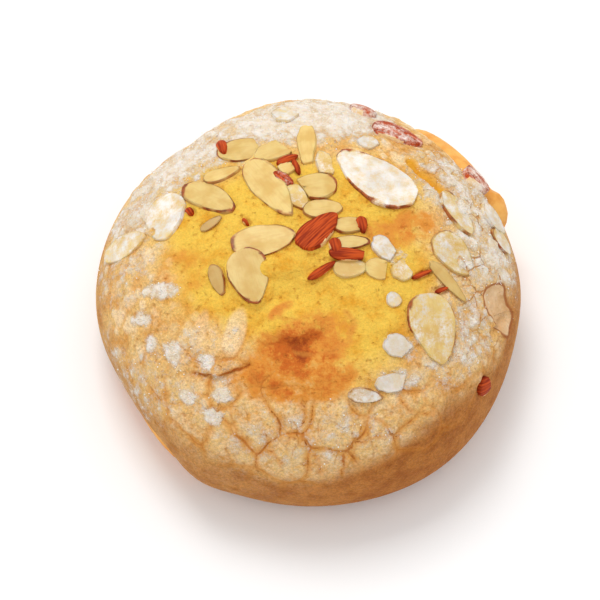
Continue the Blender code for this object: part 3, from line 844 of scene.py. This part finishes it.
def add_flake(form, flake, draw):
    """Adds one almond piece to a bmesh, draped on the dome, with its paint in the bmesh's layers."""
    skin_piece = flake.kind == "skin"
    sheet = slice_sheet(flake, draw)
    grown = bmesh.ops.extrude_face_region(sheet, geom=sheet.faces[:])
    top = [item for item in grown["geom"] if isinstance(item, bmesh.types.BMVert)]
    bmesh.ops.translate(sheet, verts=top, vec=(0, 0, flake.thick))
    bmesh.ops.recalc_face_normals(sheet, faces=sheet.faces)
    rim = [edge for edge in sheet.edges if edge.calc_face_angle(0) > RIM_ANGLE]
    bmesh.ops.bevel(sheet, geom=rim, offset=RIM_BEVEL, segments=2, profile=0.5, affect="EDGES", material=-1)
    long, wide = flake.half
    place = flake_frame(flake)
    seed = draw.random()
    paints = [form.verts.layers.float[name] for name in ALMOND_PAINTS]
    uv = form.loops.layers.uv["along"]
    corners = {}
    flat = np.array([corner.co for corner in sheet.verts])
    fall = dome_fall(place, flat)
    for i, corner in enumerate(sheet.verts):
        along, across = corner.co.x / long, corner.co.y / (wide * (1 - FLAKE_TAPER * corner.co.x / long))
        apart = math.hypot(along, across)
        from_edge = (1 - apart) * wide
        height = corner.co.z - flake.thick
        if skin_piece:
            height += SKIN_BULGE * (math.sqrt(max(0, 1 - 0.9 * min(apart, 1) ** 2)) - 0.6)
        else:
            height += SLICE_WAVE * math.sin(2.2 * along + 6 * seed) - SLICE_DISH * (1 - apart * apart)
        local = Vector((corner.co.x, corner.co.y, height + flake.lie * MM + DRAPE * fall[i]))
        new = form.verts.new(place @ local)
        if skin_piece:
            skin = 1 if across > -0.9 else 0
        else:
            skin = flake.skin * (1 - smooth_step(0.12 * MM, 0.3 * MM, from_edge))
        for layer, amount in zip(paints, (skin, flake.sugar, flake.toast, seed)):
            new[layer] = float(amount)
        corners[corner] = new
    for face in sheet.faces:
        new_face = form.faces.new([corners[corner] for corner in face.verts])
        new_face.smooth = True
        for loop, corner in zip(new_face.loops, face.verts):
            loop[uv].uv = (corner.co.x * 100 + 3 * seed, corner.co.y * 100 + 2 * seed)
    sheet.free()


def dome_fall(place, flat):
    """How far the dome lies below a slice's own plane, in metres and not above 0, at each of its points."""
    fall = np.zeros(len(flat))
    for _ in range(3):
        ways = ways_of(moved(place, np.column_stack([flat[:, 0], flat[:, 1], fall])))
        fall = in_frame(place, ways * dome_reach(ways)[:, None] + CORE)[:, 2]
    return np.minimum(fall, 0)


def make_flakes(name, kind):
    """All almond pieces of one kind, joined."""
    form = bmesh.new()
    for layer in ALMOND_PAINTS:
        form.verts.layers.float.new(layer)
    form.loops.layers.uv.new("along")
    draw = random.Random(name)
    for flake in FLAKES.values():
        if flake.kind == kind:
            add_flake(form, flake, draw)
    return piece_from(name, form)


def make_sugar(topping):
    """Loose grains of sugar where the crust is sugared most."""
    draw = random.Random(11)
    points = points_of(topping.data)
    sugar = np.empty(len(points), np.float32)
    topping.data.attributes["sugar"].data.foreach_get("value", sugar)
    ways = ways_of(points)
    _, lift = bearing_and_lift(ways)
    outside = np.linalg.norm(points - CORE, axis=1) > dome_reach(ways) - 1.5 * MM
    chance = np.where(outside & (lift > 5), sugar**2, 0)
    chosen = draw.choices(range(len(points)), weights=chance.tolist(), k=SUGAR_GRAINS)
    form = bmesh.new()
    for i in chosen:
        size = draw.uniform(*GRAIN_RADII) * MM
        squash = Matrix.Diagonal((1, draw.uniform(0.6, 1), draw.uniform(0.5, 1), 1))
        turn = Matrix.Rotation(draw.uniform(0, math.tau), 4, Vector([draw.gauss(0, 1) for _ in range(3)]))
        nudge = Vector([draw.uniform(-GRAIN_NUDGE, GRAIN_NUDGE) * MM for _ in range(3)])
        place = Matrix.Translation(Vector(points[i]) + nudge) @ turn @ squash
        bmesh.ops.create_icosphere(form, subdivisions=1, radius=size, matrix=place)
    return piece_from("sugar_grains", form)


class Nodes:
    """Adds nodes to one tree, each with its settings and with what feeds its inputs."""

    def __init__(self, tree):
        self.tree = tree

    def add(self, kind, settings=None, **feeds):
        node = self.tree.nodes.new(kind)
        for setting, value in (settings or {}).items():
            setattr(node, setting, value)
        for name, value in feeds.items():
            self.feed(node, name.replace("_", " "), value)
        return node

    def feed(self, node, name, value):
        target = node.inputs[int(name)] if name.isdigit() else node.inputs[name]
        if isinstance(value, bpy.types.NodeSocket):
            self.tree.links.new(value, target)
        else:
            target.default_value = value

    def math(self, operation, first, second):
        node = self.add("ShaderNodeMath", {"operation": operation})
        self.feed(node, "0", first)
        self.feed(node, "1", second)
        return node.outputs[0]

    def times(self, first, second):
        return self.math("MULTIPLY", first, second)

    def plus(self, first, second):
        return self.math("ADD", first, second)

    def less(self, first, second):
        return self.math("SUBTRACT", first, second)

    def most(self, first, second):
        return self.math("MAXIMUM", first, second)

    def ramp(self, value, low, high, start=0.0, end=1.0):
        """start below low, end above high, and smooth between them."""
        node = self.add("ShaderNodeMapRange", {"interpolation_type": "SMOOTHSTEP"}, Value=value)
        for name, number in (("From Min", low), ("From Max", high), ("To Min", start), ("To Max", end)):
            self.feed(node, name, number)
        return node.outputs[0]

    def mix(self, share, first, second, blend="MIX"):
        node = self.add("ShaderNodeMix", {"data_type": "RGBA", "blend_type": blend})
        self.feed(node, "0", share)
        for i, value in ((6, first), (7, second)):
            self.feed(node, str(i), value if isinstance(value, bpy.types.NodeSocket) else colour(value))
        return node.outputs[2]

    def noise(self, vector, size, detail=3.0, roughness=0.5, distortion=0.0):
        """A cloud of humps about one size across, in metres."""
        node = self.add("ShaderNodeTexNoise", Vector=vector, Scale=1 / size, Detail=detail)
        self.feed(node, "Roughness", roughness)
        self.feed(node, "Distortion", distortion)
        return node.outputs["Fac"]

    def painted(self, name):
        return self.add("ShaderNodeAttribute", {"attribute_name": name}).outputs["Fac"]

    def streaks(self, stretch, fineness, detail):
        """Lines along an almond piece, by its own map."""
        along = self.add("ShaderNodeUVMap", {"uv_map": "along"}).outputs["UV"]
        drawn = self.add("ShaderNodeMapping", Vector=along, Scale=stretch).outputs[0]
        return self.add("ShaderNodeTexNoise", Vector=drawn, Scale=fineness, Detail=detail).outputs["Fac"]

    def group(self, tree, **feeds):
        """What a node group puts out, with its inputs fed."""
        return self.add("ShaderNodeGroup", {"node_tree": tree}, **feeds).outputs

    def bump(self, shader, height, depth, strength):
        """Turns a shader's surface by a height from 0 to 1, which is as deep as the depth."""
        node = self.add("ShaderNodeBump", Height=height, Strength=strength, Distance=depth)
        self.feed(shader, "Normal", node.outputs["Normal"])


def colour(rgb):
    """A colour given as 0 to 255 on screen, as the shader's linear light."""
    linear = [((c / 255 + 0.055) / 1.055) ** 2.4 if c > 10 else c / 255 / 12.92 for c in rgb]
    return (*linear, 1)


def new_group(name, inputs, outputs):
    """A maker of nodes in a new shader node group, the group's inputs, and the node for its outputs."""
    tree = bpy.data.node_groups.new(name, "ShaderNodeTree")
    for socket, kind in inputs.items():
        tree.interface.new_socket(socket, in_out="INPUT", socket_type=kind)
    for socket, kind in outputs.items():
        tree.interface.new_socket(socket, in_out="OUTPUT", socket_type=kind)
    return Nodes(tree), tree.nodes.new("NodeGroupInput").outputs, tree.nodes.new("NodeGroupOutput")


FLOAT, COLOUR, VECTOR = "NodeSocketFloat", "NodeSocketColor", "NodeSocketVector"


def sugar_group():
    """Powdered sugar on any base: its colour over the base's, and its height."""
    n, given, out = new_group(
        "powdered_sugar",
        {"Base": COLOUR, "Amount": FLOAT, "Shelter": FLOAT, "Vector": VECTOR},
        {"Color": COLOUR, "Height": FLOAT, "Cover": FLOAT},
    )
    patches = n.noise(given["Vector"], 2.8 * MM, detail=6, roughness=0.72)
    grains = n.noise(given["Vector"], 0.42 * MM, detail=2, roughness=0.7)
    field = n.plus(n.times(patches, 1.6), n.times(grains, 0.5))
    level = n.less(n.plus(field, given["Amount"]), given["Shelter"])
    cover = n.ramp(level, 1.22, 1.78)
    cover = n.times(cover, n.ramp(given["Amount"], 0.02, 0.2))
    white = n.mix(n.ramp(patches, 0.4, 0.65), (248, 229, 202), (255, 247, 238))
    n.feed(out, "Color", n.mix(n.times(cover, 0.92), given["Base"], white))
    n.feed(out, "Height", n.times(cover, grains))
    n.feed(out, "Cover", cover)
    return n.tree


def crumb_group():
    """Baked crumb: fine grain, pores and soft mottling, as heights and masks."""
    n, given, out = new_group(
        "baked_crumb",
        {"Vector": VECTOR, "Grain": FLOAT},
        {"Height": FLOAT, "Mottle": FLOAT, "Pores": FLOAT},
    )
    broad = n.noise(given["Vector"], 5 * MM, detail=4, roughness=0.6)
    fine = n.noise(given["Vector"], 0.75 * MM, detail=4, roughness=0.65)
    holes = n.noise(given["Vector"], 1.25 * MM, detail=2, roughness=0.5)
    pores = n.ramp(holes, 0.62, 0.74)
    grainy = n.times(fine, given["Grain"])
    n.feed(out, "Height", n.less(grainy, n.times(pores, 0.5)))
    n.feed(out, "Mottle", broad)
    n.feed(out, "Pores", pores)
    return n.tree


def toast_group():
    """Oven colour from dough to deep brown by an amount from 0 to 1."""
    n, given, out = new_group("toasting", {"Base": COLOUR, "Amount": FLOAT}, {"Color": COLOUR})
    golden = n.mix(n.ramp(given["Amount"], 0.0, 0.45), given["Base"], (226, 148, 60))
    brown = n.mix(n.ramp(given["Amount"], 0.4, 0.8), golden, (206, 108, 38))
    n.feed(out, "Color", n.mix(n.ramp(given["Amount"], 0.8, 1.2), brown, (160, 70, 26)))
    return n.tree


def new_material(name, roughness, subsurface=0.0, specular=0.5):
    """A material, a maker of its nodes, its shader, and each point's place on the bun."""
    material = bpy.data.materials.new(name)
    material.use_nodes = True
    nodes = Nodes(material.node_tree)
    shader = material.node_tree.nodes["Principled BSDF"]
    shader.inputs["Roughness"].default_value = roughness
    shader.inputs["Specular IOR Level"].default_value = specular
    shader.inputs["Subsurface Weight"].default_value = subsurface
    shader.inputs["Subsurface Radius"].default_value = (1.0, 0.55, 0.25)
    shader.inputs["Subsurface Scale"].default_value = 1.6 * MM
    return material, nodes, shader, nodes.add("ShaderNodeTexCoord").outputs["Object"]


def topping_material(sugar, crumb, toasting):
    """The sponge: yellow in the middle, tan plates and cracks round it, and browned, dusted or torn."""
    material, n, shader, spot = new_material("crackled_sponge", 0.75, subsurface=0.1, specular=0.12)
    grain = n.group(crumb, Vector=spot, Grain=1.0)
    yolk, side, brown, bare, torn = (n.painted(name) for name in ("yolk", "side", "brown", "bare", "torn"))
    crackled, crack_mm = n.painted("belt"), n.painted("crack")

    yellow = n.mix(n.ramp(grain["Mottle"], 0.4, 0.75), (241, 197, 80), (228, 160, 44))
    plate = n.mix(n.ramp(grain["Mottle"], 0.38, 0.65), (238, 194, 122), (224, 162, 84))
    front = n.painted("front")
    flat_top = n.times(n.ramp(crack_mm, 0.25, 1.7), front)
    dusty = n.times(flat_top, n.ramp(n.noise(spot, 1.3 * MM, detail=4, roughness=0.7), 0.38, 0.6))
    plate = n.mix(n.times(dusty, 0.75), plate, (239, 204, 156))
    plate = n.mix(n.painted("cobble"), plate, (252, 220, 172))
    surface = n.mix(yolk, plate, yellow)
    # The tan lower side: its own colour, deepened towards the front right as painted shade.
    tan = n.mix(n.ramp(grain["Mottle"], 0.35, 0.7), (190, 120, 54), (164, 94, 38))
    surface = n.mix(side, surface, tan)
    speck = n.ramp(n.noise(spot, 0.6 * MM, detail=4, roughness=0.75), 0.34, 0.68, 0.8, 1.17)
    surface = n.mix(n.ramp(yolk, 0.0, 1.0, 1.0, 0.5), surface, speck, blend="MULTIPLY")

    blotch = n.noise(spot, 4.5 * MM, detail=6, roughness=0.72)
    toast = n.times(brown, n.ramp(blotch, 0.34, 0.62, 0.35, 1.3))
    toast = n.plus(toast, n.times(n.ramp(blotch, 0.55, 0.75), 0.16))
    surface = n.group(toasting, Base=surface, Amount=toast)["Color"]
    # The pores are a darker orange: partly the sponge's own colour, partly painted shade inside them.
    surface = n.mix(n.times(grain["Pores"], 0.35), surface, (206, 128, 44))

    nudge = n.add("ShaderNodeTexNoise", Vector=spot, Scale=1 / (2.4 * MM), Detail=3.0).outputs["Color"]
    shift = n.add("ShaderNodeVectorMath", {"operation": "MULTIPLY_ADD"})
    for i, value in enumerate((nudge, (1.6 * MM,) * 3, spot)):
        n.feed(shift, str(i), value)
    hair = n.add(
        "ShaderNodeTexVoronoi", {"feature": "DISTANCE_TO_EDGE"}, Vector=shift.outputs[0], Scale=1 / (5.2 * MM)
    )
    hair_line = n.ramp(hair.outputs["Distance"], 0.0, 0.05, 1.0, 0.0)
    hair_line = n.times(hair_line, n.ramp(n.noise(spot, 7 * MM, detail=2), 0.44, 0.56))
    faint = n.ramp(n.noise(spot, 5 * MM, detail=3), 0.4, 0.6, 0.3, 0.9)
    main_line = n.times(n.ramp(crack_mm, 0.02, 0.34, 1.0, 0.0), faint)
    lines = n.times(main_line, n.times(crackled, front))
    lines = n.most(lines, n.times(hair_line, n.times(n.painted("lined"), 0.75)))
    path = n.painted("path")
    lines = n.most(lines, n.ramp(path, 0.05, 0.34, 1.0, 0.0))
    halo = n.times(n.ramp(crack_mm, 0.1, 1.5, 0.7, 0.0), crackled)
    halo = n.most(n.times(halo, front), n.ramp(path, 0.2, 1.3, 0.6, 0.0))
    surface = n.mix(halo, surface, (222, 146, 62))
    surface = n.mix(n.times(lines, 0.9), surface, (186, 96, 30))
    opened = n.mix(n.ramp(grain["Mottle"], 0.35, 0.65), (222, 176, 124), (240, 204, 160))
    surface = n.mix(n.ramp(bare, 0.35, 0.5), surface, opened)
    # A brown ring round the bare patch: the broken crust's browned edge, and painted shadow under it.
    edge_brown_and_shadow = n.times(n.ramp(bare, 0.08, 0.3), n.ramp(bare, 0.42, 0.6, 1.0, 0.0))
    surface = n.mix(n.times(edge_brown_and_shadow, 0.85), surface, (164, 92, 44))
    surface = n.mix(torn, surface, n.mix(grain["Mottle"], (222, 142, 28), (244, 190, 66)))

    shelter = n.most(n.times(lines, 0.5), n.most(bare, torn))
    dust = n.group(sugar, Base=surface, Amount=n.painted("sugar"), Shelter=shelter, Vector=spot)
    n.feed(shader, "Base Color", dust["Color"])
    height = n.less(grain["Height"], n.times(lines, 0.6))
    height = n.plus(height, n.times(dust["Height"], 1.1))
    wrinkle = n.noise(spot, 2.4 * MM, detail=3, roughness=0.5, distortion=1.2)
    height = n.plus(height, n.times(wrinkle, n.ramp(yolk, 0.0, 1.0, 1.6, 0.8)))
    n.bump(shader, height, 0.52 * MM, 1.0)
    return material


def bread_material(crumb, toasting):
    """Bread crust: orange where it shows, and browner towards its underside."""
    material, n, shader, spot = new_material("bread_crust", 0.55, subsurface=0.08, specular=0.25)
    grain = n.group(crumb, Vector=spot, Grain=0.5)
    height = n.add("ShaderNodeSeparateXYZ", Vector=spot).outputs["Z"]
    base = n.mix(n.ramp(grain["Mottle"], 0.35, 0.65), (250, 192, 100), (240, 170, 76))
    under = n.ramp(height, 0.0, 9 * MM, 0.62, 0.12)
    amount = n.plus(under, n.times(n.ramp(grain["Mottle"], 0.4, 0.7), 0.18))
    n.feed(shader, "Base Color", n.group(toasting, Base=base, Amount=amount)["Color"])
    wrinkle = n.noise(spot, 1.6 * MM, detail=4, roughness=0.6)
    n.bump(shader, n.plus(grain["Height"], wrinkle), 0.25 * MM, 0.5)
    return material


def almond_material(sugar):
    """Cut almond: cream with faint grain along it, and its skin as a brown line round the rim."""
    material, n, shader, spot = new_material("almond_slice", 0.5, subsurface=0.2, specular=0.3)
    fibre = n.streaks((1.2, 9.0, 1.0), 2.2, 4.0)
    cloudy = n.noise(spot, 4 * MM, detail=3)
    cream = n.mix(n.ramp(cloudy, 0.35, 0.68), (238, 208, 132), (224, 184, 102))
    cream = n.mix(n.times(n.ramp(fibre, 0.45, 0.7), 0.3), cream, (216, 168, 92))
    # Darker where a piece is toasted; on grey_left this darkening is painted shadow.
    cream = n.mix(n.times(n.painted("toast"), 0.8), cream, (186, 138, 82))
    broken = n.ramp(n.noise(spot, 5 * MM, detail=3), 0.36, 0.6, 0.4, 1.0)
    edge = n.times(n.painted("rim"), broken)
    skin = n.mix(n.ramp(n.noise(spot, 1.2 * MM), 0.4, 0.65), (176, 92, 40), (126, 62, 30))
    surface = n.mix(n.ramp(edge, 0.2, 0.8), cream, skin)
    shelter = n.times(edge, 0.6)
    dust = n.group(sugar, Base=surface, Amount=n.painted("sugar"), Shelter=shelter, Vector=spot)
    # Each slice is darkened by a random tone, and where sugared also in patches and tinted cool: partly its
    # own tone, partly painted shade.
    tone_and_shade = n.ramp(n.painted("shade"), 0.0, 1.0, 0.87, 0.97)
    patchy_shade = n.ramp(n.noise(spot, 6 * MM, detail=2), 0.38, 0.62, 0.86, 1.0)
    tone_and_shade = n.mix(n.ramp(dust["Cover"], 0.0, 1.0), tone_and_shade, n.times(tone_and_shade, patchy_shade))
    toned_and_shaded = n.mix(1.0, dust["Color"], tone_and_shade, blend="MULTIPLY")
    cool_shade = n.mix(dust["Cover"], (255, 255, 255), (247, 250, 255))
    n.feed(shader, "Base Color", n.mix(1.0, toned_and_shaded, cool_shade, blend="MULTIPLY"))
    n.feed(shader, "Roughness", n.ramp(dust["Cover"], 0.0, 1.0, 0.4, 0.9))
    height = n.plus(n.times(fibre, 0.4), dust["Height"])
    n.bump(shader, height, 0.12 * MM, 0.6)
    return material


def skin_material(sugar):
    """Almond skin: red brown and ribbed along the nut, with cream flesh where it is cut."""
    material, n, shader, spot = new_material("almond_skin", 0.6, specular=0.12)
    rib = n.streaks((1.0, 11.0, 1.0), 1.7, 3.0)
    brown = n.mix(n.ramp(rib, 0.34, 0.64), (136, 38, 10), (200, 80, 28))
    surface = n.mix(n.ramp(n.painted("rim"), 0.35, 0.6), (238, 200, 138), brown)
    dust = n.group(sugar, Base=surface, Amount=n.painted("sugar"), Shelter=0.0, Vector=spot)
    n.feed(shader, "Base Color", dust["Color"])
    height = n.plus(rib, dust["Height"])
    n.bump(shader, height, 0.25 * MM, 0.7)
    return material


def grain_material():
    """Loose sugar."""
    material, n, shader, spot = new_material("sugar_crystal", 0.6, subsurface=0.3)
    tint = n.mix(n.ramp(n.noise(spot, 2 * MM), 0.35, 0.65), (255, 252, 246), (244, 226, 208))
    n.feed(shader, "Base Color", tint)
    return material


def dress(piece, material, slot, *nodes):
    """Gives a piece its material and its body, and hides the solids it stands for; the slot is not used."""
    piece.data.materials.clear()
    piece.data.materials.append(material)
    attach(piece, "root")
    if nodes:
        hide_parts(*nodes)


def make_floor():
    """A pale floor, which isn't part of the bun."""
    form = bmesh.new()
    bmesh.ops.create_grid(form, x_segments=1, y_segments=1, size=FLOOR_REACH)
    floor = piece_from("floor", form)
    material = bpy.data.materials.new("pale_floor")
    material.use_nodes = True
    shader = material.node_tree.nodes["Principled BSDF"]
    shader.inputs["Base Color"].default_value = FLOOR_WHITE
    shader.inputs["Roughness"].default_value = 0.9
    floor.data.materials.append(material)


def add_light(name, place, size, power):
    """A square soft light that faces the bun."""
    light = bpy.data.lights.new(name, "AREA")
    light.size = size
    light.energy = power
    holder = bpy.data.objects.new(name, light)
    holder.location = place
    holder.rotation_euler = Vector(place).to_track_quat("Z", "Y").to_euler()
    bpy.context.scene.collection.objects.link(holder)


def make_light_and_view():
    """An even white sky, a key light above and behind, and a camera that looks down on the front."""
    scene = bpy.context.scene
    world = bpy.data.worlds.new("studio")
    world.use_nodes = True
    world.node_tree.nodes["Background"].inputs["Color"].default_value = (1, 1, 1, 1)
    world.node_tree.nodes["Background"].inputs["Strength"].default_value = SKY_STRENGTH
    scene.world = world
    scene.view_settings.view_transform = "Standard"
    add_light("key", KEY_PLACE, KEY_SIZE, KEY_POWER)
    lift = math.radians(VIEW_LIFT)
    back = Vector((0, -math.cos(lift), math.sin(lift)))
    up = back.cross(Vector((1, 0, 0)))
    lens = bpy.data.cameras.new("view")
    lens.sensor_width = SENSOR
    lens.lens = SENSOR * VIEW_DISTANCE / VIEW_WIDTH
    camera = bpy.data.objects.new("view", lens)
    camera.location = LOOK_AT - up * LOOK_LOWER + back * VIEW_DISTANCE
    camera.rotation_euler = back.to_track_quat("Z", "Y").to_euler()
    scene.collection.objects.link(camera)
    scene.camera = camera


def main():
    sugar, crumb, toasting = sugar_group(), crumb_group(), toast_group()
    topping = make_topping()
    dress(topping, topping_material(sugar, crumb, toasting), "topping", "topping")
    dress(make_bread(), bread_material(crumb, toasting), "bread", "bread")
    dress(make_flakes("almond_slices", "slice"), almond_material(sugar), "topping", "topping")
    dress(make_flakes("almond_skin_pieces", "skin"), skin_material(sugar), "topping", "topping")
    dress(make_sugar(topping), grain_material(), "topping", "topping")
    make_floor()
    make_light_and_view()


main()
